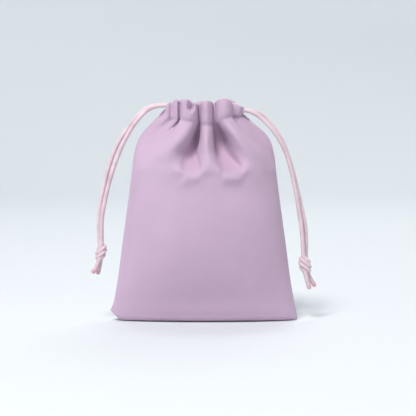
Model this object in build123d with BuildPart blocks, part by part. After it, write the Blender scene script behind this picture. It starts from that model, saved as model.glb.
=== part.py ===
from build123d import *

import os
from math import asin, cos, degrees, pi, radians, sin, tan

# Drawstring gift pouch: two sewn fabric panels, a gathered channel hem and two knotted drawcords.
# Frame: +Z up, -Y is the front, origin at the middle of the face that the pouch stands on.
# Millimetres.

os.makedirs("parts", exist_ok=True)

# ---- driving dimensions ----
FABRIC = 0.8  # one ply of the satin-backed microfibre
CORD_D = 2.2  # diameter of the braided satin drawcord

# The outline of the filled pouch: (height, half width, half depth). Each level is an ellipse.
BODY_LEVELS = [
    (0.0, 47.6, 6.6),
    (5.5, 49.6, 8.8),
    (21.0, 46.0, 14.2),
    (40.0, 43.3, 18.6),
    (60.0, 40.6, 20.2),
    (79.0, 38.0, 19.0),
    (91.0, 36.2, 16.8),
    (99.0, 31.6, 14.6),
    (105.2, 25.6, 13.0),
]
# The gathered channel above it, as (height, half width, half depth).
CHANNEL_LEVELS = [(105.5, 25.2, 12.9), (110.5, 21.4, 12.2), (116.4, 19.0, 11.6)]
CHANNEL_WALL = 4.8  # outer ply, cord tunnel and inner ply
TUNNEL_LOW, TUNNEL_HIGH = 107.4, 115.4  # stitched shut below, folded over above
SLIT_HALF = 3.4  # half the gap between the front and back channels, where the cords come out

SEAM_WIDTH = 5.0  # seam allowance turned to the inside
SEAM_PLIES = 1.5  # its two plies, sewn face to face
SEAM_GAP = 0.15  # clearance between an allowance and the wall it is sewn to
THREAD_R = 0.16
STITCH = 1.7  # length of one stitch
STITCH_PITCH = 2.3

CORD_LEVELS = {"left": 113.4, "right": 110.6}  # height of each cord's loop in the channel
# Where the part of a cord inside the channel ends, just short of the start of its strands.
LOOP_END_X = {"left": 19.5, "right": 21.3}
LOOP_RUN_OUT = 3.0  # the straight run out of the slit
EXIT_Y = 1.4
KNOTS = {
    "left": {"x": -54.5, "top": 40.3, "bottom": 31.4, "r": 2.9},
    "right": {"x": 53.1, "top": 33.9, "bottom": 24.5, "r": 3.3},
}
KNOT_FACE_R = 2.4
TIP_LENGTH = 0.7
TIP_R = 1.22
TIP_EDGE_R = 0.25

# The routes of the hanging strands, from the slit to the knot. The front and back strands of a
# pair leave the two channel halves and come together at the knot.
STRAND_ROUTES = {
    "left_cord_front_strand": [
        (-21.0, -1.4, 113.4), (-26.6, -1.5, 113.0), (-32.0, -1.6, 109.2), (-37.6, -1.5, 102.2),
        (-43.4, -1.4, 91.6), (-48.2, -1.3, 78.8), (-51.6, -1.2, 65.8), (-54.1, -1.2, 53.2),
        (-53.8, -1.2, 40.5),
    ],
    "left_cord_back_strand": [
        (-21.0, 1.4, 113.4), (-27.4, 1.6, 113.6), (-33.0, 1.8, 109.8), (-38.8, 1.8, 103.0),
        (-45.0, 1.7, 94.6), (-49.2, 1.6, 84.4), (-52.2, 1.5, 73.6), (-54.4, 1.3, 62.6),
        (-55.9, 1.2, 51.6), (-55.3, 1.2, 40.5),
    ],
    "right_cord_front_strand": [
        (22.8, -1.4, 110.6), (26.6, -1.5, 109.4), (31.2, -1.6, 105.8), (36.4, -1.6, 100.2),
        (41.6, -1.5, 92.2), (45.0, -1.4, 82.6), (47.4, -1.3, 72.2), (49.6, -1.2, 60.4),
        (51.6, -1.2, 47.2), (52.4, -1.2, 34.1),
    ],
    "right_cord_back_strand": [
        (22.8, 1.4, 110.6), (27.4, 1.5, 110.4), (32.4, 1.7, 106.8), (37.6, 1.7, 101.0),
        (42.2, 1.7, 92.8), (45.6, 1.6, 83.2), (48.4, 1.5, 72.4), (51.2, 1.3, 60.8),
        (54.0, 1.2, 47.4), (53.8, 1.2, 34.1),
    ],
}
# The cut ends below each knot: where each leaves the knot and where it ends.
TAIL_ROUTES = {
    "left_cord_front_tail": [(-55.2, -1.2, 31.3), (-58.1, -1.9, 26.3)],
    "left_cord_back_tail": [(-54.4, 1.2, 31.3), (-56.1, 1.7, 25.3)],
    "right_cord_front_tail": [(53.2, -1.2, 24.4), (55.4, -1.8, 18.0)],
    "right_cord_back_tail": [(54.3, 1.2, 24.4), (58.3, 1.8, 18.7)],
}


def save(part, name):
    """Writes one named piece."""
    part.label = name
    export_step(part, f"parts/{name}.step")


def level_at(levels, z):
    """Half width and half depth at a height, in proportion between the two levels around it."""
    for (z0, a0, b0), (z1, a1, b1) in zip(levels, levels[1:]):
        if z <= z1:
            share = (z - z0) / (z1 - z0)
            return a0 + share * (a1 - a0), b0 + share * (b1 - b0)
    return levels[-1][1:]


def shrunk(levels, by, low=None, high=None):
    """The same levels drawn in by a wall, cut to a height range if one is given."""
    low = levels[0][0] if low is None else low
    high = levels[-1][0] if high is None else high
    inside = [(low, *level_at(levels, low))]
    inside += [level for level in levels if low < level[0] < high]
    inside += [(high, *level_at(levels, high))]
    return [(z, a - by, b - by) for z, a, b in inside]


def oval_solid(levels):
    """A smooth solid through horizontal ellipses."""
    with BuildPart() as solid:
        for z, a, b in levels:
            with BuildSketch(Plane.XY.offset(z)):
                Ellipse(a, b)
        loft()
    return solid.part


# ---- front and back panels ----
bag_outside = oval_solid(BODY_LEVELS)
bag_inside = oval_solid(shrunk(BODY_LEVELS, FABRIC, low=FABRIC))

with BuildPart() as front_panel:
    add(bag_outside)
    add(bag_inside, mode=Mode.SUBTRACT)
    split(bisect_by=Plane.XZ, keep=Keep.TOP)
save(front_panel.part, "front_panel")

with BuildPart() as back_panel:
    add(bag_outside)
    add(bag_inside, mode=Mode.SUBTRACT)
    split(bisect_by=Plane.XZ, keep=Keep.BOTTOM)
save(back_panel.part, "back_panel")

# ---- channel hems: each a flattened tube of the same fabric, open at both slits ----
channel_outside = oval_solid(CHANNEL_LEVELS)
channel_mouth = oval_solid(shrunk(CHANNEL_LEVELS, CHANNEL_WALL))
with BuildPart() as cord_tunnel:
    add(oval_solid(shrunk(CHANNEL_LEVELS, FABRIC, TUNNEL_LOW, TUNNEL_HIGH)))
    add(
        oval_solid(shrunk(CHANNEL_LEVELS, CHANNEL_WALL - FABRIC, TUNNEL_LOW, TUNNEL_HIGH)),
        mode=Mode.SUBTRACT,
    )

for name, slit_face in (
    ("front_channel", Plane.XZ.offset(SLIT_HALF)),
    ("back_channel", -Plane.XZ.offset(-SLIT_HALF)),
):
    with BuildPart() as channel:
        add(channel_outside)
        add(channel_mouth, mode=Mode.SUBTRACT)
        add(cord_tunnel.part, mode=Mode.SUBTRACT)
        split(bisect_by=slit_face, keep=Keep.TOP)
    save(channel.part, name)


# ---- seam allowances, turned to the inside along the sides and the bottom ----
SIDE_SEAM_LOW, SIDE_SEAM_HIGH = 8.0, 100.0
BOTTOM_HALF = 42.0  # half the length of the bottom allowance
BEYOND = 120.0  # longer than the pouch is wide
seam_edge = FABRIC + SEAM_GAP
seam_fold = seam_edge + SEAM_WIDTH

with BuildPart() as seam_band:
    add(oval_solid(shrunk(BODY_LEVELS, seam_edge, low=FABRIC)))
    add(oval_solid(shrunk(BODY_LEVELS, seam_fold, low=FABRIC)), mode=Mode.SUBTRACT)
    with Locations((0, 0, (SIDE_SEAM_LOW + SIDE_SEAM_HIGH) / 2)):
        Box(BEYOND, SEAM_PLIES, SIDE_SEAM_HIGH - SIDE_SEAM_LOW, mode=Mode.INTERSECT)

for name, keep in (("left_seam_allowance", Keep.BOTTOM), ("right_seam_allowance", Keep.TOP)):
    with BuildPart() as side_allowance:
        add(seam_band.part)
        split(bisect_by=Plane.YZ, keep=keep)
    save(side_allowance.part, name)

with BuildPart() as bottom_allowance:
    with Locations((0, 0, seam_edge + SEAM_WIDTH / 2)):
        Box(2 * BOTTOM_HALF, SEAM_PLIES, SEAM_WIDTH)
save(bottom_allowance.part, "bottom_seam_allowance")


def stitch_row(points, outward, name):
    """One stitch per pitch along a polyline of Vectors; outward is the side it lies on."""
    path = Polyline(*points)
    count = int(path.length // STITCH_PITCH)
    with BuildPart() as row:
        for i in range(count):
            at = (i + 0.5) / count
            place = Plane(origin=path @ at + outward(path @ at), z_dir=path % at)
            with Locations(place.location):
                Cylinder(THREAD_R, STITCH)
    save(row.part, name)


def seam_line(side, inset=1.0, steps=8):
    """Points up one side seam, inset from the edge of the allowance."""
    points = []
    for i in range(steps + 1):
        z = SIDE_SEAM_LOW + (SIDE_SEAM_HIGH - SIDE_SEAM_LOW) * i / steps
        points.append(Vector(side * (level_at(BODY_LEVELS, z)[0] - seam_edge - inset), 0, z))
    return points


seam_face = Vector(0, -SEAM_PLIES / 2 - THREAD_R - 0.02, 0)
bottom_line = [Vector(x, 0, seam_edge + 1.0) for x in (1 - BOTTOM_HALF, BOTTOM_HALF - 1)]
stitch_row(seam_line(-1), lambda point: seam_face, "left_seam_stitches")
stitch_row(seam_line(1), lambda point: seam_face, "right_seam_stitches")
stitch_row(bottom_line, lambda point: seam_face, "bottom_seam_stitches")

# ---- the visible row of stitches that closes the foot of each channel ----
STITCH_ROW_Z = 106.6
STITCH_LIFT = THREAD_R + 0.1
row_a, row_b = level_at(CHANNEL_LEVELS, STITCH_ROW_Z)
SLIT_ANGLE = degrees(asin(SLIT_HALF / row_b)) + 3  # where on the oval the row starts


def channel_stitches(facing, name):
    """A row around the outside of one channel; facing is -1 for the front, 1 for the back."""
    steps = 40
    angles = [SLIT_ANGLE + (180 - 2 * SLIT_ANGLE) * i / steps for i in range(steps + 1)]
    points = [
        Vector(
            (row_a + STITCH_LIFT) * cos(radians(angle)),
            facing * (row_b + STITCH_LIFT) * sin(radians(angle)),
            STITCH_ROW_Z,
        )
        for angle in angles
    ]
    stitch_row(points, lambda point: Vector(0, 0, 0), name)


channel_stitches(-1, "front_channel_stitches")
channel_stitches(1, "back_channel_stitches")

# ---- bar tacks across the top of each side seam, at the foot of the slits ----
TACK = (0.5, 3.2, 1.1)  # thickness, length across the seam, height
TACK_Z = 103.0
TACK_LIFT = 0.55  # from the seam to the middle of the tack
(z_low, a_low, _), (z_high, a_high, _) = BODY_LEVELS[-2:]
shoulder_normal = Vector(z_high - z_low, 0, a_low - a_high).normalized()
for side_name, side in (("left", -1), ("right", 1)):
    out = Vector(side * shoulder_normal.X, 0, shoulder_normal.Z)
    middle = Vector(side * level_at(BODY_LEVELS, TACK_Z)[0], 0, TACK_Z) + out * TACK_LIFT
    with BuildPart() as tack:
        with Locations(Plane(origin=middle, x_dir=out, z_dir=(0, 1, 0)).location):
            Box(TACK[0], TACK[2], TACK[1])
        fillet(tack.edges().filter_by(Axis.Y), TACK[0] * 0.4)
    save(tack.part, f"{side_name}_slit_bartack")


# ---- drawcords ----
def corner_radii(points):
    """The largest tangent arc at each corner: 0.45 of the shorter run over tan of half the turn."""
    radii = []
    for before, corner, after in zip(points, points[1:], points[2:]):
        run_in, run_out = corner - before, after - corner
        half_turn = radians(run_in.get_angle(run_out)) / 2
        radii.append(0.45 * min(run_in.length, run_out.length) / tan(half_turn))
    return radii


def cord_tube(route, name):
    """A round cord along straight runs joined by tangent arcs."""
    points = [Vector(*point) for point in route]
    radii = corner_radii(points)
    with BuildPart() as tube:
        with BuildLine() as path:
            FilletPolyline(*points, radius=radii)
        length = path.wire().length
        with BuildSketch(Plane(origin=path.wire() @ 0, z_dir=path.wire() % 0)):
            Circle(CORD_D / 2)
        sweep()
    expected = pi * CORD_D**2 / 4 * length
    print(
        f"{name}: length {length:.1f}, radii {[round(r, 1) for r in radii]},"
        f" volume over section times length {tube.part.volume / expected:.4f}"
    )
    save(tube.part, name)


for strand, route in STRAND_ROUTES.items():
    cord_tube(route, strand)


def cord_loop(side_name, side):
    """The part of a drawcord inside the channel: in at one slit, round both halves and out again."""
    z = CORD_LEVELS[side_name]
    a, b = (value - CHANNEL_WALL / 2 for value in level_at(CHANNEL_LEVELS, z))
    slit = 34.0  # degrees of the oval left open at the slit where the strands come out
    corners = 16
    step = (360 - 2 * slit) / (corners - 1)
    widen = 1 / cos(radians(step / 2))  # so that the rounded corners lie on the oval
    end_x = LOOP_END_X[side_name]
    route = [(end_x, -EXIT_Y), (end_x - LOOP_RUN_OUT, -EXIT_Y)]
    for i in range(corners):
        angle = radians(slit + i * step)
        route.append((widen * a * cos(angle), -widen * b * sin(angle)))
    route += [(end_x - LOOP_RUN_OUT, EXIT_Y), (end_x, EXIT_Y)]
    cord_tube([(side * x, y, z) for x, y in route], f"{side_name}_cord_loop")


cord_loop("left", -1)
cord_loop("right", 1)

# ---- knots, and the cut ends below them with their heat-sealed tips ----
for side_name, knot in KNOTS.items():
    middle = (knot["top"] + knot["bottom"]) / 2
    head, foot = (KNOT_FACE_R, knot["top"]), (KNOT_FACE_R, knot["bottom"])
    with BuildPart() as bead:
        with BuildSketch(Plane.XZ.shift_origin((knot["x"], 0, 0))):
            with BuildLine():
                Polyline(foot, (0, knot["bottom"]), (0, knot["top"]), head)
                ThreePointArc(head, (knot["r"], middle), foot)
            make_face()
        revolve(axis=Axis((knot["x"], 0, 0), (0, 0, 1)))
    save(bead.part, f"{side_name}_cord_knot")

for side_name in KNOTS:
    tips = []
    for which in ("front", "back"):
        name = f"{side_name}_cord_{which}_tail"
        start, end = (Vector(*point) for point in TAIL_ROUTES[name])
        with BuildPart() as tail:
            with BuildLine() as path:
                TangentArc(start, end, tangent=(0, 0, -1))
            with BuildSketch(Plane(origin=start, z_dir=(0, 0, -1))):
                Circle(CORD_D / 2)
            sweep()
        save(tail.part, name)
        tips.append(Plane(origin=end, z_dir=path.wire() % 1))
    with BuildPart() as sealed_tips:
        for cut in tips:
            with BuildSketch(cut):
                Circle(TIP_R)
            extrude(amount=TIP_LENGTH)
        fillet(sealed_tips.edges(), TIP_EDGE_R)
    save(sealed_tips.part, f"{side_name}_cord_tips")
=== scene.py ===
from math import cos, pi, radians, sin

import bpy
import numpy as np
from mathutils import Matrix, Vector


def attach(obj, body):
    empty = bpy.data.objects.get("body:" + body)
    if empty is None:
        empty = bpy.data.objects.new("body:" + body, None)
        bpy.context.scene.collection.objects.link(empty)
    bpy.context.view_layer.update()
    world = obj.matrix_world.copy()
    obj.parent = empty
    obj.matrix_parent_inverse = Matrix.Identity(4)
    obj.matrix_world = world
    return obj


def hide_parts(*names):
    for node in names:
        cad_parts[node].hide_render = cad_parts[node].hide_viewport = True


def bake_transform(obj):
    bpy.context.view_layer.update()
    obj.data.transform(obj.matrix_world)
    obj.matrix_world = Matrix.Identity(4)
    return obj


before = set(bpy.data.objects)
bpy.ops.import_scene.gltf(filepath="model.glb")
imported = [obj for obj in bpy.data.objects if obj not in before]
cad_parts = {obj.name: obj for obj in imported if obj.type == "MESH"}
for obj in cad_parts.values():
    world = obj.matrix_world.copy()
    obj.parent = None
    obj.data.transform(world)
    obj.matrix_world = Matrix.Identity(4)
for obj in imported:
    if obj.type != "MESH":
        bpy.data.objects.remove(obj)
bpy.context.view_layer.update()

MM = 0.001  # the cords' routes are in metres, and the cloth's tables are in millimetres

# ---- driving sizes, in millimetres ----
PANEL_WIDTH = 103.0  # finished width of the pouch laid flat
PANEL_LENGTH = 118.0  # from the bottom seam to the stitches under the channel
TURNED_EDGE = 3.0  # what hangs below the stitches inside
FABRIC = 0.45  # one ply
THREAD_D = 0.38
CORD_D = 2.2
ALLOWANCE = 7.0  # width of the turned seam allowances inside
CLOTH_CELL = 1.3  # mesh size of the simulated cloth

# ---- the cords' routes, in metres: strand, through the knot, and tail ----
CORD_ROUTES = {
    ("left", "front"): [
        (-0.0210, -0.0014, 0.1134), (-0.0266, -0.0015, 0.1130), (-0.0320, -0.0016, 0.1092),
        (-0.0376, -0.0015, 0.1022), (-0.0434, -0.0014, 0.0916), (-0.0482, -0.0013, 0.0788),
        (-0.0516, -0.0012, 0.0658), (-0.0541, -0.0012, 0.0532), (-0.0538, -0.0012, 0.0405),
        (-0.0552, -0.0012, 0.0313), (-0.0581, -0.0019, 0.0263),
    ],
    ("left", "back"): [
        (-0.0210, 0.0014, 0.1134), (-0.0274, 0.0016, 0.1136), (-0.0330, 0.0018, 0.1098),
        (-0.0388, 0.0018, 0.1030), (-0.0450, 0.0017, 0.0946), (-0.0492, 0.0016, 0.0844),
        (-0.0522, 0.0015, 0.0736), (-0.0544, 0.0013, 0.0626), (-0.0559, 0.0012, 0.0516),
        (-0.0553, 0.0012, 0.0405), (-0.0544, 0.0012, 0.0313), (-0.0561, 0.0017, 0.0253),
    ],
    ("right", "front"): [
        (0.0228, -0.0014, 0.1106), (0.0266, -0.0015, 0.1094), (0.0312, -0.0016, 0.1058),
        (0.0364, -0.0016, 0.1002), (0.0416, -0.0015, 0.0922), (0.0450, -0.0014, 0.0826),
        (0.0474, -0.0013, 0.0722), (0.0496, -0.0012, 0.0604), (0.0516, -0.0012, 0.0472),
        (0.0524, -0.0012, 0.0341), (0.0532, -0.0012, 0.0244), (0.0554, -0.0018, 0.0180),
    ],
    ("right", "back"): [
        (0.0228, 0.0014, 0.1106), (0.0274, 0.0015, 0.1104), (0.0324, 0.0017, 0.1068),
        (0.0376, 0.0017, 0.1010), (0.0422, 0.0017, 0.0928), (0.0456, 0.0016, 0.0832),
        (0.0484, 0.0015, 0.0724), (0.0512, 0.0013, 0.0608), (0.0540, 0.0012, 0.0474),
        (0.0538, 0.0012, 0.0341), (0.0543, 0.0012, 0.0244), (0.0583, 0.0018, 0.0187),
    ],
}

# ---- the pouch's shape, in millimetres ----
# The filled pouch without its folds: (height, half width, half depth).
BODY_LEVELS = [
    (0.0, 49.3, 6.2),
    (1.2, 49.25, 8.3),
    (4.0, 48.9, 9.6),
    (12.0, 47.4, 11.8),
    (21.0, 45.8, 14.8),
    (40.0, 43.2, 19.0),
    (60.0, 40.4, 20.6),
    (72.0, 38.8, 20.2),
]
# The fold lines of one side, from the left seam to the right one. Each has a place (x, depth) at
# five heights, a place (x, depth, z) on the stitches under the channel, and one on the rim.
FOLD_HEIGHTS = (77.0, 80.0, 84.0, 88.0, 97.0)
FOLD_LINES = [
    # left seam
    ((-38.2, 0), (-37.8, 0), (-37.4, 0), (-36.7, 0), (-33.6, 0),
     (-20.4, 0, 111.0), (-19.4, 2.9, 113.4)),
    ((-36.8, 5.8), (-36.4, 6.0), (-35.8, 5.4), (-34.8, 4.4), (-30.2, 2.6),
     (-18.8, 6.6, 107.8), (-18.4, 6.6, 114.6)),
    # hollow of the left shoulder
    ((-34.6, 8.8), (-34.2, 9.2), (-33.0, 8.8), (-31.4, 7.4), (-26.2, 5.2),
     (-16.8, 5.4, 105.6), (-16.2, 5.0, 115.4)),
    # thin pleat
    ((-32.4, 10.9), (-32.0, 11.3), (-30.4, 11.2), (-28.6, 10.0), (-22.2, 7.8),
     (-13.8, 10.0, 105.6), (-13.9, 9.8, 116.6)),
    ((-30.6, 12.3), (-30.2, 12.7), (-28.4, 12.7), (-26.4, 12.0), (-19.4, 10.6),
     (-12.7, 6.4, 105.6), (-12.6, 6.0, 114.4)),
    # first lobe, whose rim curls forward
    ((-28.4, 13.8), (-28.0, 14.0), (-26.2, 14.2), (-24.2, 14.4), (-17.0, 14.2),
     (-11.9, 10.2, 106.2), (-11.4, 10.0, 115.4)),
    ((-22.8, 16.6), (-22.6, 16.6), (-21.4, 16.6), (-20.2, 17.2), (-13.8, 16.6),
     (-9.8, 12.6, 105.3), (-9.8, 13.2, 116.2)),
    ((-19.4, 17.9), (-19.2, 17.8), (-18.4, 17.6), (-17.8, 17.9), (-11.4, 17.0),
     (-7.8, 13.3, 104.7), (-8.0, 14.8, 116.4)),
    ((-15.4, 18.7), (-15.6, 18.9), (-15.4, 17.6), (-15.0, 17.2), (-9.0, 15.8),
     (-5.8, 13.2, 104.5), (-6.0, 14.4, 115.4)),
    ((-11.6, 19.4), (-12.0, 19.8), (-12.4, 16.6), (-11.8, 14.4), (-6.8, 11.4),
     (-3.4, 10.6, 104.5), (-4.2, 12.0, 114.8)),
    # first valley
    ((-8.0, 21.0), (-8.8, 19.2), (-8.8, 13.4), (-7.8, 10.0), (-4.6, 4.8),
     (-2.7, 5.8, 103.6), (-2.9, 6.0, 113.8)),
    ((-4.0, 21.2), (-3.6, 19.2), (-4.2, 12.6), (-4.6, 7.8), (-2.8, 2.0),
     (-2.0, 5.8, 103.4), (-2.2, 6.0, 114.0)),
    # second lobe, narrower and set back
    ((-0.2, 20.5), (-0.2, 21.2), (-1.0, 18.4), (-2.2, 14.8), (-1.6, 11.6),
     (-1.2, 9.4, 103.0), (-1.3, 9.2, 115.0)),
    ((3.6, 20.0), (3.6, 20.6), (2.6, 20.6), (1.6, 19.0), (1.2, 16.4),
     (1.6, 11.3, 102.9), (1.1, 11.0, 116.0)),
    ((7.8, 20.3), (7.8, 21.0), (6.2, 18.6), (5.2, 16.0), (4.6, 11.8),
     (4.2, 8.8, 103.2), (3.9, 8.6, 115.4)),
    # second valley, the deepest
    ((11.4, 20.8), (11.4, 18.2), (9.2, 10.6), (7.2, 5.2), (5.6, 1.2),
     (5.0, 5.6, 103.6), (4.9, 5.8, 113.8)),
    ((17.4, 19.5), (17.6, 17.2), (14.8, 10.0), (12.0, 4.8), (9.4, 1.2),
     (6.2, 5.6, 104.0), (5.9, 5.8, 114.0)),
    # third lobe
    ((21.6, 17.0), (21.8, 17.8), (19.8, 15.6), (17.2, 13.2), (12.8, 11.2),
     (7.2, 9.8, 105.0), (6.9, 9.6, 116.2)),
    ((26.0, 15.3), (26.0, 15.2), (24.8, 15.4), (23.0, 16.2), (16.8, 16.2),
     (10.4, 12.4, 106.2), (10.0, 12.0, 117.0)),
    ((30.6, 12.4), (30.6, 12.5), (29.6, 12.8), (28.0, 13.2), (20.6, 13.4),
     (14.0, 10.4, 107.4), (13.4, 10.4, 116.2)),
    # right shoulder
    ((33.8, 9.3), (33.6, 9.4), (32.4, 9.0), (30.8, 8.6), (23.2, 8.6),
     (15.0, 4.4, 107.0), (15.0, 4.6, 114.2)),
    ((36.6, 5.6), (36.4, 5.7), (35.2, 4.6), (33.8, 3.8), (28.2, 3.4),
     (18.4, 4.6, 107.4), (18.2, 5.4, 113.4)),
    # right seam
    ((38.2, 0), (37.8, 0), (37.4, 0), (36.7, 0), (33.6, 0),
     (20.6, 0, 108.4), (20.8, 2.9, 112.2)),
]
# The first lobe's rim curls over a hollow: its place (x, z), its radius and how deep it goes.
CURL = {"x": -6.7, "z": 113.4, "radius": 1.8, "deep": 4.6}
CURL_TALL = 0.72  # how much less the height counts than the width: under 1 the hollow is tall
CURL_DROP = 0.3  # how far the rim goes down for each millimetre that it goes in
CURL_ROOM = 3.4  # what stays between the hollow and the middle of the cords
# The bottom seam lies on the floor, apart from its left end, which lifts into a small ear.
EAR_HEIGHT = 5.2
EAR_LENGTH = 7.0
EAR_FADE = 2.2  # the ear ends at this many times its height
EAR_LEAN = 0.12  # how far it leans out for each millimetre that it lifts
SEAM_LIFT = 0.35
SEAM_ROLL = 3.0  # how much cloth next to the bottom seam lifts with it

# ---- the inside of the channel, in millimetres ----
INNER_DEPTH = 2.5  # how far from the middle the inner ply runs behind the cords
INNER_WIDTH = 0.92  # the inner ply's width as a share of the rim's
INNER_END = 19.5  # where the two inner plies meet at the sides
INNER_TOP, INNER_LOW = 114.4, 109.6  # heights of its upper edge and of where it hangs straight
PUCKERS, PUCKER_DEPTH = 9, 0.35  # the inner ply's small waves
ROOF = 115.0  # height of the cloth over the cords
ROOF_FALL, INNER_FALL = 2.4, 1.8  # how much lower the roof and the inner ply are at the right slit
FALL_FROM, FALL_TO = 13.0, 19.0  # how far to the right that drop starts and ends
CORD_COVER = 1.5  # from the middle of the cords to the front edge of the roof
# The groove behind the rim: it starts where the rim stands out this far, and deepens with it.
GROOVE_FROM, GROOVE_SLOPE, GROOVE_MOST = 7.0, 0.7, 4.0
TURNED_IN = 0.9  # how far inside the panel the turned edge hangs
CHANNEL_SWELL = ((0.10, 0.75), (0.5, 1.15), (0.85, 0.75))  # (share of the way up, how far out)
CORD_DEPTH = 4.2  # how far from the middle the cords run in the channel
EXIT_DEPTH = 1.4  # how far from the middle they leave the slit
ENTRY_LENGTH = 6.5  # what a cord needs to get from the one depth to the other
LOOP_LEVELS = {"left": 113.4, "right": 110.6}
LOOP_END = 16.6  # how far from the middle a loop turns round at the other slit
LOOP_INSET = 0.03  # how much smaller a loop's radius is than its strands', so it starts inside them

# ---- places by the mouth's opening, in metres, which make_loops reads but nothing uses ----
BEND_HEIGHT = 0.112
RUN_BEND = (0.0205, 0.0150)  # how far from the middle, along X
TURN_BEND = (0.0002, 0.0034)  # the same along Y

# ---- camera, in metres ----
CAMERA_TARGET = Vector((0.0021, 0.0, 0.0595))
CAMERA_DISTANCE = 0.64
CAMERA_ELEVATION = radians(4.5)
CAMERA_LENS = 105.2


# ---- general helpers ----
def through(knots, values, at):
    """A smooth curve through values at increasing knots, read at the given places."""
    knots, values = np.asarray(knots, float), np.asarray(values, float)
    slopes = np.gradient(values, knots, axis=0)
    at = np.clip(at, knots[0], knots[-1])
    span = np.clip(np.searchsorted(knots, at, side="right") - 1, 0, len(knots) - 2)
    width = knots[span + 1] - knots[span]
    t = (at - knots[span]) / width
    shape = (slice(None),) + (None,) * (values.ndim - 1)
    t, width = t[shape], width[shape]
    return (
        (2 * t**3 - 3 * t**2 + 1) * values[span]
        + (t**3 - 2 * t**2 + t) * width * slopes[span]
        + (3 * t**2 - 2 * t**3) * values[span + 1]
        + (t**3 - t**2) * width * slopes[span + 1]
    )


def smoothstep(low, high, value):
    """0 at low, 1 at high, and smooth between them."""
    t = np.clip((value - low) / (high - low), 0, 1)
    return t * t * (3 - 2 * t)


def lengths_along(points):
    """The distance of each point from the first, along the line."""
    return np.concatenate([[0], np.cumsum(np.linalg.norm(np.diff(points, axis=0), axis=1))])


def spread_evenly(points, step):
    """Points about a step apart along the line through the given points."""
    along = lengths_along(points)
    count = max(2, round(along[-1] / step) + 1)
    at = np.linspace(0, along[-1], count)
    return np.stack([np.interp(at, along, points[:, k]) for k in range(3)], axis=1)


def new_object(name, points, faces, material=None):
    """A smooth-shaded object from points in millimetres."""
    mesh = bpy.data.meshes.new(name)
    mesh.from_pydata((np.asarray(points, float) * MM).tolist(), [], [list(map(int, f)) for f in faces])
    mesh.update()
    mesh.polygons.foreach_set("use_smooth", [True] * len(mesh.polygons))
    if material:
        mesh.materials.append(material)
    made = bpy.data.objects.new(name, mesh)
    bpy.context.scene.collection.objects.link(made)
    return made


def apply_modifiers(piece):
    """Makes what the modifiers show the piece's own mesh."""
    shown = piece.evaluated_get(bpy.context.evaluated_depsgraph_get())
    mesh = bpy.data.meshes.new_from_object(shown)
    piece.modifiers.clear()
    piece.data = mesh


def frames_along(line):
    """The line's direction at each point, and two unit vectors across it that don't twist."""
    ahead = np.gradient(line, axis=0)
    ahead /= np.linalg.norm(ahead, axis=1)[:, None]
    start = np.array([0.0, 1.0, 0.0]) if abs(ahead[0][1]) < 0.9 else np.array([1.0, 0.0, 0.0])
    first = [start - ahead[0] * (start @ ahead[0])]
    for direction in ahead[1:]:
        first.append(first[-1] - direction * (first[-1] @ direction))
        first[-1] /= np.linalg.norm(first[-1])
    first = np.array(first)
    first[0] /= np.linalg.norm(first[0])
    return ahead, first, np.cross(ahead, first)


def tube(line, radius, sides, relief=None, cap_rings=4):
    """Points and faces of a round-ended tube along a line, with relief(along, turn) on its surface."""
    ahead, first, second = frames_along(line)
    turn = np.linspace(0, 2 * pi, sides, endpoint=False)
    along = lengths_along(line)
    rings = []
    for k in range(cap_rings, 0, -1):
        tilt = k * pi / 2 / (cap_rings + 1)
        centre = line[0] - ahead[0] * radius * sin(tilt)
        rings.append((centre, first[0], second[0], along[0], cos(tilt)))
    for k in range(len(line)):
        rings.append((line[k], first[k], second[k], along[k], 1.0))
    for k in range(1, cap_rings + 1):
        tilt = k * pi / 2 / (cap_rings + 1)
        centre = line[-1] + ahead[-1] * radius * sin(tilt)
        rings.append((centre, first[-1], second[-1], along[-1], cos(tilt)))
    points = []
    for centre, u, v, where, share in rings:
        r = radius * share + (relief(where, turn) * share if relief else 0)
        points.append(centre + (r * np.cos(turn))[:, None] * u + (r * np.sin(turn))[:, None] * v)
    points = np.concatenate(points + [[line[0] - ahead[0] * radius, line[-1] + ahead[-1] * radius]])
    faces = []
    for ring in range(len(rings) - 1):
        for k in range(sides):
            a, b = ring * sides + k, ring * sides + (k + 1) % sides
            faces.append((a, b, b + sides, a + sides))
    last = (len(rings) - 1) * sides
    tip = len(rings) * sides
    for k in range(sides):
        faces.append(((k + 1) % sides, k, tip))
        faces.append((last + k, last + (k + 1) % sides, tip + 1))
    return points, faces


def merged(parts):
    """Several (points, faces) as one."""
    points, faces, start = [], [], 0
    for some, others in parts:
        points.append(some)
        faces += [[start + k for k in face] for face in others]
        start += len(some)
    return np.concatenate(points), faces


# ---- materials ----
WEAVE_PITCH = 0.00034  # metres from one thread to the next
BANDS_PER_SCALE = 20  # a wave texture's scale times this is its angle for each unit of length


def node_material(name):
    """A new material, with its nodes, its links and its shader."""
    material = bpy.data.materials.new(name)
    material.use_nodes = True
    tree = material.node_tree
    return material, tree.nodes, tree.links, tree.nodes["Principled BSDF"]


def add_node(nodes, kind, settings=(), **inputs):
    """A node with the given settings and input values."""
    made = nodes.new(kind)
    for name, value in dict(settings).items():
        setattr(made, name, value)
    for name, value in inputs.items():
        made.inputs[name.replace("_", " ")].default_value = value
    return made


def ramp(nodes, stops):
    """A colour ramp from (place, linear colour) stops."""
    made = nodes.new("ShaderNodeValToRGB")
    elements = made.color_ramp.elements
    for element, (place, colour) in zip(elements, (stops[0], stops[-1])):
        element.position, element.color = place, (*colour, 1)
    for place, colour in stops[1:-1]:
        elements.new(place).color = (*colour, 1)
    return made


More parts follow.
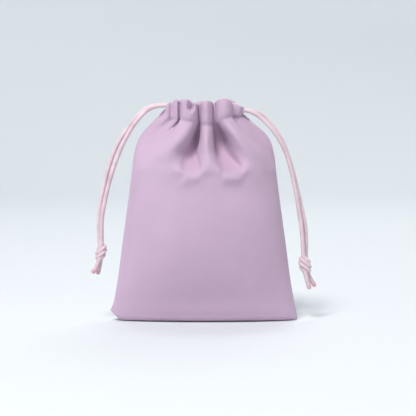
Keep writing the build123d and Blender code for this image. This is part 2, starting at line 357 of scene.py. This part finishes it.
def weave_height(nodes, links, pitch):
    """The height of a fine plain weave, read from the cloth's own flat coordinates in metres."""
    flat = add_node(nodes, "ShaderNodeAttribute", {"attribute_name": "cloth"})
    waves = []
    for direction in ("X", "Y"):
        wave = add_node(
            nodes, "ShaderNodeTexWave", {"wave_type": "BANDS", "bands_direction": direction},
            Scale=2 * pi / (BANDS_PER_SCALE * pitch), Distortion=0.15, Detail=1.0,
        )
        links.new(flat.outputs["Vector"], wave.inputs["Vector"])
        waves.append(wave)
    height = add_node(nodes, "ShaderNodeMath", {"operation": "MULTIPLY"})
    links.new(waves[0].outputs["Fac"], height.inputs[0])
    links.new(waves[1].outputs["Fac"], height.inputs[1])
    return height.outputs[0]


def fabric_material(name, dark, light, sheen):
    """Lilac satin-backed cloth with a fine weave, a slight mottle and a soft sheen."""
    material, nodes, links, shader = node_material(name)
    place = nodes.new("ShaderNodeTexCoord")
    cloudy = add_node(nodes, "ShaderNodeTexNoise", Scale=38.0, Detail=3.0, Roughness=0.55)
    slubs = add_node(nodes, "ShaderNodeTexNoise", Scale=900.0, Detail=2.0, Roughness=0.6)
    mixed = add_node(nodes, "ShaderNodeMath", {"operation": "MULTIPLY_ADD"})
    mixed.inputs[1].default_value = 0.35
    colour = ramp(nodes, [(0.25, dark), (0.95, light)])
    for noise in (cloudy, slubs):
        links.new(place.outputs["Object"], noise.inputs["Vector"])
    links.new(slubs.outputs["Fac"], mixed.inputs[0])
    links.new(cloudy.outputs["Fac"], mixed.inputs[2])
    links.new(mixed.outputs[0], colour.inputs["Fac"])
    links.new(colour.outputs["Color"], shader.inputs["Base Color"])
    rough = add_node(nodes, "ShaderNodeMapRange", To_Min=0.56, To_Max=0.70)
    links.new(slubs.outputs["Fac"], rough.inputs["Value"])
    links.new(rough.outputs["Result"], shader.inputs["Roughness"])
    bump = add_node(nodes, "ShaderNodeBump", Strength=0.35, Distance=0.00006)
    links.new(weave_height(nodes, links, WEAVE_PITCH), bump.inputs["Height"])
    links.new(bump.outputs["Normal"], shader.inputs["Normal"])
    shader.inputs["Sheen Weight"].default_value = sheen
    shader.inputs["Sheen Roughness"].default_value = 0.45
    shader.inputs["Sheen Tint"].default_value = (0.95, 0.86, 0.95, 1)
    shader.inputs["Specular IOR Level"].default_value = 0.3
    return material


def yarn_material(name, dark, light, roughness, sheen, scale):
    """Spun or braided yarn: fine fibres along the thread and a slight unevenness of colour."""
    material, nodes, links, shader = node_material(name)
    place = nodes.new("ShaderNodeTexCoord")
    fibres = add_node(nodes, "ShaderNodeTexNoise", Scale=scale, Detail=4.0, Roughness=0.65)
    patches = add_node(nodes, "ShaderNodeTexNoise", Scale=scale / 18, Detail=2.0, Roughness=0.5)
    mixed = add_node(nodes, "ShaderNodeMath", {"operation": "MULTIPLY_ADD"})
    mixed.inputs[1].default_value = 0.5
    colour = ramp(nodes, [(0.3, dark), (1.0, light)])
    for noise in (fibres, patches):
        links.new(place.outputs["Object"], noise.inputs["Vector"])
    links.new(fibres.outputs["Fac"], mixed.inputs[0])
    links.new(patches.outputs["Fac"], mixed.inputs[2])
    links.new(mixed.outputs[0], colour.inputs["Fac"])
    links.new(colour.outputs["Color"], shader.inputs["Base Color"])
    bump = add_node(nodes, "ShaderNodeBump", Strength=0.4, Distance=0.00008)
    links.new(fibres.outputs["Fac"], bump.inputs["Height"])
    links.new(bump.outputs["Normal"], shader.inputs["Normal"])
    shader.inputs["Roughness"].default_value = roughness
    shader.inputs["Sheen Weight"].default_value = sheen
    shader.inputs["Sheen Roughness"].default_value = 0.4
    shader.inputs["Sheen Tint"].default_value = (1.0, 0.9, 0.94, 1)
    return material


FABRIC_FACE = fabric_material("lilac_cloth", (0.500, 0.358, 0.480), (0.575, 0.414, 0.550), 0.25)
THREAD = yarn_material("lilac_thread", (0.42, 0.30, 0.43), (0.60, 0.46, 0.60), 0.5, 0.3, 6000.0)
CORD = yarn_material("pink_cord", (0.58, 0.40, 0.46), (0.80, 0.64, 0.69), 0.5, 0.35, 3200.0)
TIP = yarn_material("melted_tip", (0.58, 0.29, 0.34), (0.74, 0.46, 0.50), 0.32, 0.0, 1500.0)


# ---- camera and cords ----
def place_camera():
    """The camera at the viewing angle that shows the pouch's front."""
    camera = bpy.data.objects.new("camera", bpy.data.cameras.new("camera"))
    bpy.context.scene.collection.objects.link(camera)
    away = Vector((0, -cos(CAMERA_ELEVATION), sin(CAMERA_ELEVATION)))
    camera.location = CAMERA_TARGET + away * CAMERA_DISTANCE
    camera.rotation_euler = (-away).to_track_quat("-Z", "Y").to_euler()
    camera.data.lens = CAMERA_LENS
    bpy.context.scene.camera = camera


def along_route(route):
    """Points, in millimetres, of the smooth line that has the route as its control points."""
    curve = bpy.data.curves.new("route", "CURVE")
    curve.dimensions = "3D"
    spline = curve.splines.new("NURBS")
    spline.points.add(len(route) - 1)
    for point, place in zip(spline.points, route):
        point.co = (*place, 1)
    spline.order_u = 3
    spline.use_endpoint_u = True
    spline.resolution_u = 24
    holder = bpy.data.objects.new("route", curve)
    mesh = bpy.data.meshes.new_from_object(holder)
    points = np.array([vertex.co for vertex in mesh.vertices])
    bpy.data.objects.remove(holder)
    bpy.data.curves.remove(curve)
    bpy.data.meshes.remove(mesh)
    return points / MM


BRAID_PITCH = 3.4  # length of one turn of the braid's carriers
BRAID_CARRIERS = 4
BRAID_HEIGHT = 0.09


def braid(along, turn):
    """The relief of a fine braid: two families of carriers that cross over and under."""
    lay = 2 * pi * along / BRAID_PITCH
    one = np.cos(BRAID_CARRIERS * (turn + lay))
    other = np.cos(BRAID_CARRIERS * (turn - lay))
    return BRAID_HEIGHT * np.maximum(one, other)


KNOTS = {
    # centre line of each knot, top and bottom, its radius, and which way its wraps turn and lean
    "left": {"top": (-53.9, 0, 40.0), "foot": (-54.9, 0, 32.2), "radius": 2.05, "hand": -1},
    "right": {"top": (53.2, 0, 33.6), "foot": (53.5, 0, 25.2), "radius": 2.5, "hand": 1},
}
KNOT_TURNS = 1.75
KNOT_LEAN = 0.45  # how far a wrap goes down for each millimetre across
KNOT_START = 0.9  # angle of the first wrap's start
KNOT_FLATNESS = 0.86  # depth of a knot as a share of its width
KNOT_BULGE = 0.45  # under 1 the wraps reach their full radius soon
KNOT_SPREAD = 0.05  # how much taller the wraps are than the centre line
TIGHT = 0.96  # a cord's thickness where it is pulled tight, as a share of its own


def knot_wraps(side):
    """The cords' own wraps round themselves: two cords side by side, wound down and pulled tight."""
    knot = KNOTS[side]
    top, foot = np.array(knot["top"], float), np.array(knot["foot"], float)
    height = top[2] - foot[2]
    parts = []
    for number in range(2):
        t = np.linspace(0, 1, 90)
        swell = np.sin(pi * np.clip(t, 0.001, 0.999)) ** KNOT_BULGE
        turn = KNOT_START + 2 * pi * KNOT_TURNS * t + pi * number
        x = knot["hand"] * knot["radius"] * swell * np.cos(turn)
        y = knot["radius"] * KNOT_FLATNESS * swell * np.sin(turn)
        line = top + (foot - top) * t[:, None]
        line[:, 0] += x
        line[:, 1] += y
        line[:, 2] += -KNOT_LEAN * knot["hand"] * x + KNOT_SPREAD * height * (0.5 - t)
        parts.append(tube(spread_evenly(line, step=0.3), CORD_D / 2 * TIGHT, sides=16, relief=braid))
    return merged(parts)


TIP_INSIDE, TIP_BEYOND, TIP_PROUD = 0.7, 0.25, 0.09  # the bead along the cord's end and around it


def tip_relief(along, turn):
    """The slight unevenness of a melted end."""
    return 0.05 * np.cos(3 * turn + 5 * along)


def melted_tip(line):
    """The heat-sealed end of a tail: a short dull bead, a little wider than the cord."""
    ahead = line[-1] - line[-4]
    ahead /= np.linalg.norm(ahead)
    bead = line[-1] + ahead * np.linspace(-TIP_INSIDE, TIP_BEYOND, 6)[:, None]
    return tube(bead, CORD_D / 2 + TIP_PROUD, sides=20, relief=tip_relief)


def make_cords():
    """The four hanging strands with their tails, the two knots and the melted tips."""
    lines = {key: along_route(route) for key, route in CORD_ROUTES.items()}
    for side in ("left", "right"):
        knot = new_object(f"{side}_knot", *knot_wraps(side), CORD)
        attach(knot, f"{side}_knot")
        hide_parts(f"{side}_cord_knot")
        ends = merged([melted_tip(lines[side, ply]) for ply in ("front", "back")])
        tips = new_object(f"{side}_melted_tips", *ends, TIP)
        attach(tips, f"{side}_knot")
        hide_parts(f"{side}_cord_tips")
        for ply in ("front", "back"):
            line = lines[side, ply]
            shape = tube(spread_evenly(line, step=0.32), CORD_D / 2, sides=20, relief=braid)
            strand = new_object(f"{side}_{ply}_cord", *shape, CORD)
            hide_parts(f"{side}_cord_{ply}_strand", f"{side}_cord_{ply}_tail")
            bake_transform(strand)


place_camera()
make_cords()


# ---- the pouch's cloth, as designed ----
COLUMNS = round(PANEL_WIDTH / CLOTH_CELL)
ROWS = round(PANEL_LENGTH / CLOTH_CELL)
CHANNEL_ROWS = 36
SIDES = {"front": -1, "back": 1}
SHARES = np.linspace(0, 1, COLUMNS + 1)  # each column's place across the panel


def folds_of(side):
    """The fold lines of one side. The back has the front's, turned round, between the same seams."""
    if side == "front":
        return FOLD_LINES
    middle = reversed(FOLD_LINES[2:-2])
    turned = [tuple((-place[0], *place[1:]) for place in line) for line in middle]
    return FOLD_LINES[:2] + turned + FOLD_LINES[-2:]


def fold_shares(lines):
    """How far along the panel's width each fold line lies, from 0 to 1."""
    shares = []
    for level in range(len(lines[0])):
        along = lengths_along(np.array([line[level][:2] for line in lines], float))
        shares.append(along / along[-1])
    return np.mean(shares, axis=0)


def half_oval(width, depth):
    """Half of an oval as (x, depth), from left to right, at even shares of its length."""
    turn = np.linspace(0, pi, 721)
    points = np.stack([-width * np.cos(turn), depth * np.sin(turn)], axis=1)
    along = lengths_along(points)
    return np.stack([np.interp(SHARES * along[-1], along, points[:, k]) for k in range(2)], axis=1)


def designed_panel(side):
    """Points of one panel, rows by columns, before it settles."""
    lines = folds_of(side)
    shares = fold_shares(lines)
    knots = [np.full(COLUMNS + 1, height) for height, _, _ in BODY_LEVELS]
    places = [half_oval(width, depth) for _, width, depth in BODY_LEVELS]
    for level, height in enumerate(FOLD_HEIGHTS):
        knots.append(np.full(COLUMNS + 1, height))
        places.append(through(shares, [line[level] for line in lines], SHARES))
    hem = through(shares, [line[-2] for line in lines], SHARES)
    knots, places = np.array(knots + [hem[:, 2]]), np.array(places + [hem[:, :2]])
    points = np.zeros((ROWS + 1, COLUMNS + 1, 3))
    length = np.linspace(0, PANEL_LENGTH, ROWS + 1)
    ear = smoothstep(EAR_LENGTH / PANEL_WIDTH, 0, SHARES)
    for column in range(COLUMNS + 1):
        base = max(places[0, column, 1], 0.01)  # the cloth crosses this much of the floor first
        z = np.clip((length - base) / (PANEL_LENGTH - base), 0, 1) * hem[column, 2]
        points[:, column, :2] = through(knots[:, column], places[:, column], z)
        points[:, column, 1] *= SIDES[side] * np.clip(length / base, 0, 1)
        lift = EAR_HEIGHT * ear[column] * np.clip(1 - z / (EAR_FADE * EAR_HEIGHT), 0, 1) ** 2
        points[:, column, 0] -= EAR_LEAN * lift
        points[:, column, 2] = z + lift + SEAM_LIFT * np.clip(1 - length / SEAM_ROLL, 0, 1)
    return points


def join_panels(front, back):
    """One closed cloth from two panels, which share their side and bottom seams, and each one's grid."""
    points, index, grids = [], {}, {}
    for side, panel in (("front", front), ("back", back)):
        grid = np.zeros((ROWS + 1, COLUMNS + 1), int)
        for row in range(ROWS + 1):
            for column in range(COLUMNS + 1):
                shared = column in (0, COLUMNS) or row == 0
                key = ("seam" if shared else side, row, column)
                if key not in index:
                    index[key] = len(points)
                    points.append(panel[row, column])
                grid[row, column] = index[key]
        grids[side] = grid
    return np.array(points), grids


def grid_faces(grid, flip=False):
    """Quads over a grid of vertex numbers."""
    corners = [grid[:-1, :-1], grid[:-1, 1:], grid[1:, 1:], grid[1:, :-1]]
    quads = np.stack(corners, axis=-1).reshape(-1, 4)
    return (quads[:, ::-1] if flip else quads).tolist()


# ---- the pouch's cloth, as it settles ----
CLOTH_SCALE = 10.0  # the cloth solver works best on an object about a metre across
CLOTH_GAP = 0.003  # how near cloth comes to cloth or to the floor, in the solver's metres
CLOTH_FRAMES = 50
FILL_HEIGHT = 70.0  # how high the filling presses the cloth outwards
FILL_FADE = 8.0  # over how much height, up and down from there, the pressure fades
# How firmly the cloth keeps the shape it was given: in the folds and at the foot, along the side
# seams, and between the foot and the folds, where it is a share of the first.
HOLD = 0.7
SEAM_HOLD = 0.9
LEAST_SHARE = 0.15
FOOT_HELD = (40.0, 10.0)  # going down, the foot's hold comes in between these heights
FOLDS_HELD = (60.0, 74.0)  # going up, the folds' hold does


def settle(points, flat, grids):
    """Lets the designed cloth find its own tension, fixed at the stitches and along the bottom seam."""
    faces = grid_faces(grids["front"]) + grid_faces(grids["back"], flip=True)
    cloth = new_object("cloth_run", points * CLOTH_SCALE, faces)
    cloth.shape_key_add(name="designed")
    rest = cloth.shape_key_add(name="flat")
    rest.data.foreach_set("co", (flat * MM * CLOTH_SCALE).ravel())
    rest.value = 0.0
    held = cloth.vertex_groups.new(name="held")
    pressed = cloth.vertex_groups.new(name="pressed")
    fixed = {*grids["front"][-1], *grids["back"][-1], *grids["front"][0]}
    seams = {*grids["front"][:, 0], *grids["front"][:, -1]}
    for number, (_, _, z) in enumerate(points):
        shaped = max(float(smoothstep(*FOOT_HELD, z)), float(smoothstep(*FOLDS_HELD, z)))
        loose = SEAM_HOLD if number in seams else HOLD * max(LEAST_SHARE, shaped)
        held.add([number], 1.0 if number in fixed else loose, "REPLACE")
        above = float(smoothstep(FILL_HEIGHT - FILL_FADE, FILL_HEIGHT + FILL_FADE, z))
        pressed.add([number], 1.0 - above, "REPLACE")
    # a floor just under the cloth, wide enough for its scaled size
    corners = [(-2000, -2000, -3), (2000, -2000, -3), (2000, 2000, -3), (-2000, 2000, -3)]
    floor = new_object("floor_run", corners, [(0, 1, 2, 3)])
    floor.modifiers.new("floor", "COLLISION")
    floor.collision.thickness_outer = CLOTH_GAP
    solver = cloth.modifiers.new("cloth", "CLOTH")
    settings = solver.settings
    settings.quality = 8
    settings.mass = 0.3
    settings.tension_stiffness = settings.compression_stiffness = 40
    settings.shear_stiffness = 12
    settings.bending_stiffness = 1.5
    settings.air_damping = 2
    settings.vertex_group_mass = held.name
    settings.pin_stiffness = 1.0
    settings.rest_shape_key = rest
    settings.use_pressure = True
    settings.uniform_pressure_force = 6.0
    settings.vertex_group_pressure = pressed.name
    settings.effector_weights.gravity = 0.3
    solver.collision_settings.use_collision = True
    solver.collision_settings.distance_min = CLOTH_GAP
    solver.point_cache.frame_start, solver.point_cache.frame_end = 1, CLOTH_FRAMES
    for number in range(1, CLOTH_FRAMES + 1):
        bpy.context.scene.frame_set(number)
    shown = cloth.evaluated_get(bpy.context.evaluated_depsgraph_get())
    settled = np.empty(len(points) * 3)
    shown.data.vertices.foreach_get("co", settled)
    bpy.context.scene.frame_set(1)
    bpy.data.objects.remove(cloth)
    bpy.data.objects.remove(floor)
    return settled.reshape(-1, 3) / (MM * CLOTH_SCALE)


def flat_pattern(panel, sign):
    """The panel laid flat, as long as it was cut and as wide at each height as the design is."""
    rows = []
    for height, row in zip(np.linspace(0, PANEL_LENGTH, ROWS + 1), panel):
        along = lengths_along(row)
        depth = np.full_like(along, 0.05 * sign)  # the two plies lie almost on each other
        rows.append(np.stack([along - along[-1] / 2, depth, np.full_like(along, height)], 1))
    return np.array(rows)


def settled_panels():
    """Both panels' points, rows by columns, once the cloth has settled."""
    designed, grids = join_panels(designed_panel("front"), designed_panel("back"))
    flat, _ = join_panels(*(flat_pattern(designed[grids[side]], sign) for side, sign in SIDES.items()))
    settled = settle(designed, flat, grids)
    return {side: settled[grids[side]] for side in SIDES}


# ---- the channel at the mouth ----
def outward_of(panel, row, side):
    """Unit vectors that point out of a panel along one of its rows."""
    across = np.gradient(panel[row], axis=0)
    out = np.cross(across, panel[row] - panel[row - 1]) * -SIDES[side]
    return out / np.linalg.norm(out, axis=1)[:, None]


def curled(points, side):
    """A channel's points with the hollow under the curl of the first lobe's rim pressed in."""
    curl_x = CURL["x"] * (1 if side == "front" else -1)
    across, up = points[:, :, 0] - curl_x, points[:, :, 2] - CURL["z"]
    away = np.hypot(across, CURL_TALL * up) / CURL["radius"]
    outer = np.arange(CHANNEL_ROWS)[:, None] < CHANNEL_ROWS / 2
    room = np.maximum(points[:, :, 1] - CORD_DEPTH - CURL_ROOM, 0)
    pull = outer * np.minimum(CURL["deep"] * np.exp(-away**4), room)
    points[:, :, 1] -= pull
    points[:, :, 2] -= CURL_DROP * pull
    return points


def channel_sections(side, panel):
    """Points of one channel, rows by columns: up the outer ply, over the rim, and down the inner ply."""
    lines = folds_of(side)
    shares = fold_shares(lines)
    hem = through(shares, [line[-2] for line in lines], SHARES)
    rim = through(shares, [line[-1] for line in lines], SHARES)
    turned_rows = round(TURNED_EDGE / CLOTH_CELL)
    below = panel[-1 - turned_rows] * (1, SIDES[side], 1)
    inwards = -TURNED_IN * outward_of(panel, -1 - turned_rows, side) * (1, SIDES[side], 1)
    x, depth, z = rim.T
    inner_x = INNER_WIDTH * x
    inner_depth = INNER_DEPTH * (1 - np.clip(np.abs(inner_x) / INNER_END, 0, 1) ** 4)
    inner_depth += PUCKER_DEPTH * np.sin(SHARES * 2 * pi * PUCKERS)
    fall = smoothstep(FALL_FROM, FALL_TO, x)
    roof = ROOF - ROOF_FALL * fall
    groove = np.clip(GROOVE_SLOPE * (depth - GROOVE_FROM), 0, GROOVE_MOST)
    roof_depth = np.minimum(CORD_DEPTH + CORD_COVER, depth - 0.5)

    def between(share, swell):
        """A station of the outer ply, this share of the way from the stitches to the rim."""
        place = hem + (rim - hem) * share
        place[:, 1] += swell
        return place

    def behind(share, place_depth, height):
        """A station behind the rim, this share of the way in to the inner ply's width."""
        return np.stack([x + (inner_x - x) * share, place_depth, height], axis=1)

    # Each station mixes the rim's depth with the roof's or the inner ply's, and the offsets are in
    # millimetres.
    stations = [hem]
    stations += [between(share, swell) for share, swell in CHANNEL_SWELL]
    stations += [
        # over the rim and down into the groove behind it
        behind(0, depth, z + 0.1),
        behind(0.1, depth - 0.5 - 0.25 * groove, z - 0.35 * groove),
        behind(0.4, depth * 0.66 + roof_depth * 0.34 - 0.6, z - groove),
        # over the cords
        behind(0.8, roof_depth, roof - 0.9),
        behind(0.9, CORD_DEPTH * 0.45 + inner_depth * 0.55 + 0.4, roof),
        # down the inner ply to the stitches and the turned edge
        behind(1, inner_depth + 0.1, INNER_TOP - INNER_FALL * fall),
        behind(1, inner_depth, np.full_like(x, INNER_LOW)),
        hem + inwards + (0, 0, 0.5),
        below + inwards,
    ]
    stations = np.array(stations)
    points = np.zeros((CHANNEL_ROWS, COLUMNS + 1, 3))
    for column in range(COLUMNS + 1):
        section = stations[:, column]
        along = lengths_along(section)
        at = np.linspace(0, along[-1], CHANNEL_ROWS + 1)[1:]
        points[:, column] = through(along, section, at)
    points = curled(points, side)
    points[:, :, 1] *= SIDES[side]
    return points


def make_cloth(side, panel):
    """One side of the pouch: its panel and its channel as one piece of cloth."""
    points = np.concatenate([panel, channel_sections(side, panel)])
    rows = len(points)
    grid = np.arange(rows * (COLUMNS + 1)).reshape(rows, COLUMNS + 1)
    faces = grid_faces(grid, flip=side == "back")
    cloth = new_object(f"{side}_cloth", points.reshape(-1, 3), faces, FABRIC_FACE)
    step = np.linalg.norm(np.diff(points, axis=0), axis=2).mean(axis=1)
    length = np.concatenate([[0], np.cumsum(step)])
    flat_x, flat_z = np.meshgrid((SHARES - 0.5) * PANEL_WIDTH, length)
    flat = np.stack([flat_x, flat_z, np.zeros_like(flat_x)], axis=-1) * MM
    cloth.data.attributes.new("cloth", "FLOAT_VECTOR", "POINT").data.foreach_set("vector", flat.ravel())
    smoother = cloth.modifiers.new("smooth", "SUBSURF")
    smoother.levels = smoother.render_levels = 1
    thick = cloth.modifiers.new("thickness", "SOLIDIFY")
    thick.thickness = FABRIC * MM
    thick.offset = -1
    apply_modifiers(cloth)
    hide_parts(f"{side}_panel", f"{side}_channel")
    fold_open(cloth)


def fold_open(piece):
    """Bakes the piece's place and turn into its own mesh; nothing bends it."""
    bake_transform(piece)


# ---- stitches and seams ----
STITCH_TOP, STITCH_SINK = 0.16, 0.06  # the middle of a stitch over the cloth, and its ends in it
HEM_STITCH, HEM_GAP = 2.1, 0.8  # length of a stitch, and the gap after it
SEAM_STITCH, SEAM_GAP = 2.0, 0.7
ALLOWANCE_START, SEAM_LINE = 0.5, 1.0  # how far in from the seam
ALLOWANCE_SPREAD = 0.7  # how far each of the two turned plies leans away at its inner edge
OVER_ALLOWANCE = 3.0  # the seam stitches lie this many times as far out as those on one ply
BAR_STITCHES = 9
BAR_OUT, BAR_BACK = 0.35, 0.45  # how far a bar stands out from the slit's foot, and its ends turn back
# a bar's line across the seam
BAR_LINE = ((0, -1.3, -0.15), (0, -0.5, 0.1), (0, 0.5, -0.1), (0, 1.3, 0.15))


def stitches(line, outward, length, gap):
    """A row of stitches along a line, each one a short rounded thread that dips in at its ends."""
    along = lengths_along(line)
    count = int(along[-1] // (length + gap))
    parts = []
    from_middle = np.linspace(-0.5, 0.5, 7)
    dip = 1 - (2 * from_middle) ** 4
    for number in range(count):
        at = (number + 0.5) * along[-1] / count + from_middle * length
        place = np.stack([np.interp(at, along, line[:, k]) for k in range(3)], axis=1)
        out = np.stack([np.interp(at, along, outward[:, k]) for k in range(3)], axis=1)
        place += out * (STITCH_TOP * dip[:, None] - STITCH_SINK)
        parts.append(tube(place, THREAD_D / 2, sides=8, cap_rings=2))
    return merged(parts)


def make_channel_stitches(side, panel):
    """The row of stitches that closes the foot of the channel."""
    line, outward = panel[-1], outward_of(panel, -1, side)
    shape = stitches(line, outward, HEM_STITCH, HEM_GAP)
    row = new_object(f"{side}_hem_stitches", *shape, THREAD)
    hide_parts(f"{side}_channel_stitches")
    fold_open(row)


def strip_between(edge, inner, lift):
    """Two plies of turned cloth, from a seam inwards, a little apart."""
    parts = []
    for sign in (-1, 1):
        shares = np.linspace(0, 1, 6)
        rows = [edge + (inner - edge) * share + sign * lift * np.sin(share * pi / 2) for share in shares]
        points = np.array(rows)
        grid = np.arange(points.shape[0] * points.shape[1]).reshape(points.shape[:2])
        parts.append((points.reshape(-1, 3), grid_faces(grid)))
    return merged(parts)


def make_allowance(name, edge, inward, nodes):
    """The seam allowance inside one seam, with its row of stitches."""
    inward = np.array(inward, float)
    inner = edge + inward * ALLOWANCE
    lift = np.array([0.0, ALLOWANCE_SPREAD, 0.0])
    shape = strip_between(edge + inward * ALLOWANCE_START, inner, lift)
    strip = new_object(f"{name}_turned_edges", *shape, FABRIC_FACE)
    thick = strip.modifiers.new("thickness", "SOLIDIFY")
    thick.thickness = FABRIC * MM
    apply_modifiers(strip)
    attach(strip, "pouch")
    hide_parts(nodes[0])
    out = np.tile([0.0, -OVER_ALLOWANCE, 0.0], (len(edge), 1))
    shape = stitches(edge + inward * SEAM_LINE, out, SEAM_STITCH, SEAM_GAP)
    thread = new_object(f"{name}_seam_thread", *shape, THREAD)
    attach(thread, "pouch")
    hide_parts(nodes[1])


def make_seams(panel):
    """The allowances and stitches of the side seams and of the bottom one."""
    first, last = 4, -2  # rows of the panel where the side allowances start and end
    inset = 8  # columns left free at each end of the bottom allowance
    seams = (
        ("left", panel[first:last, 0], (1, 0, 0)),
        ("right", panel[first:last, COLUMNS], (-1, 0, 0)),
        ("bottom", panel[0, inset:-inset], (0, 0, 1)),
    )
    for name, edge, inward in seams:
        make_allowance(name, edge, inward, (f"{name}_seam_allowance", f"{name}_seam_stitches"))


def make_bartacks(panel):
    """A bar of close stitches across the foot of each slit."""
    for side, column in (("left", 0), ("right", COLUMNS)):
        foot = panel[-1, column]
        below = panel[-3, column]
        away = np.array([-1.0 if side == "left" else 1.0, 0, 0])
        parts = []
        for number in range(BAR_STITCHES):
            down = foot + (below - foot) * (number / (BAR_STITCHES - 1))
            bar = down + away * BAR_OUT + np.array(BAR_LINE)
            bar[[0, -1]] -= away * BAR_BACK
            parts.append(tube(bar, THREAD_D / 2, sides=8, cap_rings=2))
        tack = new_object(f"{side}_bartack_thread", *merged(parts), THREAD)
        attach(tack, "pouch")
        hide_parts(f"{side}_slit_bartack")


# ---- the cords' hidden stretch in the channel ----
def loop_lines(side, sign):
    """Half of a cord's loop: its run along one channel, and half of its turn at the other slit."""
    level = LOOP_LEVELS[side]
    towards = 1 if side == "left" else -1
    exit_x = CORD_ROUTES[side, "front"][0][0] / MM
    run = []
    for share in np.linspace(0, 1, 12):
        depth = EXIT_DEPTH + (CORD_DEPTH - EXIT_DEPTH) * smoothstep(0, 1, share)
        run.append((exit_x + towards * ENTRY_LENGTH * share, sign * depth, level))
    turn_x = LOOP_END - CORD_DEPTH
    run.append((towards * turn_x, sign * CORD_DEPTH, level))
    turn = []
    for angle in np.linspace(0, pi / 2, 16):
        x = turn_x + CORD_DEPTH * sin(angle)
        turn.append((towards * x, sign * CORD_DEPTH * cos(angle), level))
    return np.array(run), np.array(turn)


def make_loops():
    """Each cord's loop in the channel, its front and its back half, in a run and a turn."""
    for side in ("left", "right"):
        outwards = -1 if side == "left" else 1
        for ply, sign in SIDES.items():
            run, turn = loop_lines(side, sign)
            depth = sign * CORD_DEPTH * MM
            run_bend = [(outwards * x, depth, BEND_HEIGHT) for x in RUN_BEND]
            turn_bend = [(0, sign * y, BEND_HEIGHT) for y in TURN_BEND]
            for name, line, (start, end) in (("run", run, run_bend), ("turn", turn, turn_bend)):
                even = spread_evenly(line, step=0.5)
                shape = tube(even, CORD_D / 2 - LOOP_INSET, sides=16, relief=braid)
                stretch = new_object(f"{side}_cord_{ply}_channel_{name}", *shape, CORD)
                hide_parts(f"{side}_cord_loop")
                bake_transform(stretch)


panels = settled_panels()
for side in SIDES:
    make_cloth(side, panels[side])
    make_channel_stitches(side, panels[side])
make_seams(panels["front"])
make_bartacks(panels["front"])
make_loops()


# ---- stage and light ----
BOWL_FLOOR = 900.0  # radius of the flat floor, in millimetres
BOWL_BEND = 600.0  # radius of the bend into the backdrop
BOWL_HEIGHT = 2400.0


def make_stage():
    """A plain pale floor that curves up all round into a backdrop."""
    material, _, _, shader = node_material("paper")
    shader.inputs["Base Color"].default_value = (0.71, 0.74, 0.765, 1)
    shader.inputs["Roughness"].default_value = 0.75
    line = [(0.01, 0.0), (BOWL_FLOOR, 0.0)]  # its section, as (radius, height)
    for angle in np.linspace(0.1, pi / 2, 12):
        line.append((BOWL_FLOOR + BOWL_BEND * sin(angle), BOWL_BEND * (1 - cos(angle))))
    line.append((BOWL_FLOOR + BOWL_BEND, BOWL_HEIGHT))
    sides = 96
    turn = np.linspace(0, 2 * pi, sides, endpoint=False)
    points = [(r * cos(a), r * sin(a), z) for r, z in line for a in turn]
    grid = np.arange(len(points)).reshape(len(line), sides)
    faces = grid_faces(np.concatenate([grid, grid[:, :1]], axis=1), flip=True)
    new_object("floor", points, faces, material)


def make_lights():
    """A soft key light above and to the left, weak fill and rim lights, and one for the backdrop.

    Each has its place, what it points at, its power, its size and its colour. The sky is even.
    """
    backdrop = Vector((0.0, 1.5, 0.2))
    lights = (
        ("key", (-0.32, -0.72, 1.26), CAMERA_TARGET, 17.0, 0.40, (1.0, 0.985, 0.97)),
        ("backdrop", (0.0, 0.50, 1.70), backdrop, 7.0, 0.5, (0.97, 0.985, 1.0)),
        ("fill", (-0.95, -0.30, 0.20), CAMERA_TARGET, 0.7, 0.6, (0.95, 0.97, 1.0)),
        ("rim", (0.3, 0.75, 0.8), CAMERA_TARGET, 2.0, 0.7, (1.0, 1.0, 1.0)),
    )
    for name, place, aim, energy, size, colour in lights:
        light = bpy.data.lights.new(name, "AREA")
        light.energy, light.size, light.color = energy, size, colour
        lamp = bpy.data.objects.new(name, light)
        bpy.context.scene.collection.objects.link(lamp)
        lamp.location = place
        lamp.rotation_euler = (aim - lamp.location).to_track_quat("-Z", "Y").to_euler()
    world = bpy.data.worlds.new("sky")
    world.use_nodes = True
    sky = world.node_tree.nodes["Background"]
    sky.inputs["Color"].default_value = (0.93, 0.965, 1.0, 1)
    sky.inputs["Strength"].default_value = 0.20
    bpy.context.scene.world = world
    bpy.context.scene.view_settings.view_transform = "Standard"


make_stage()
make_lights()
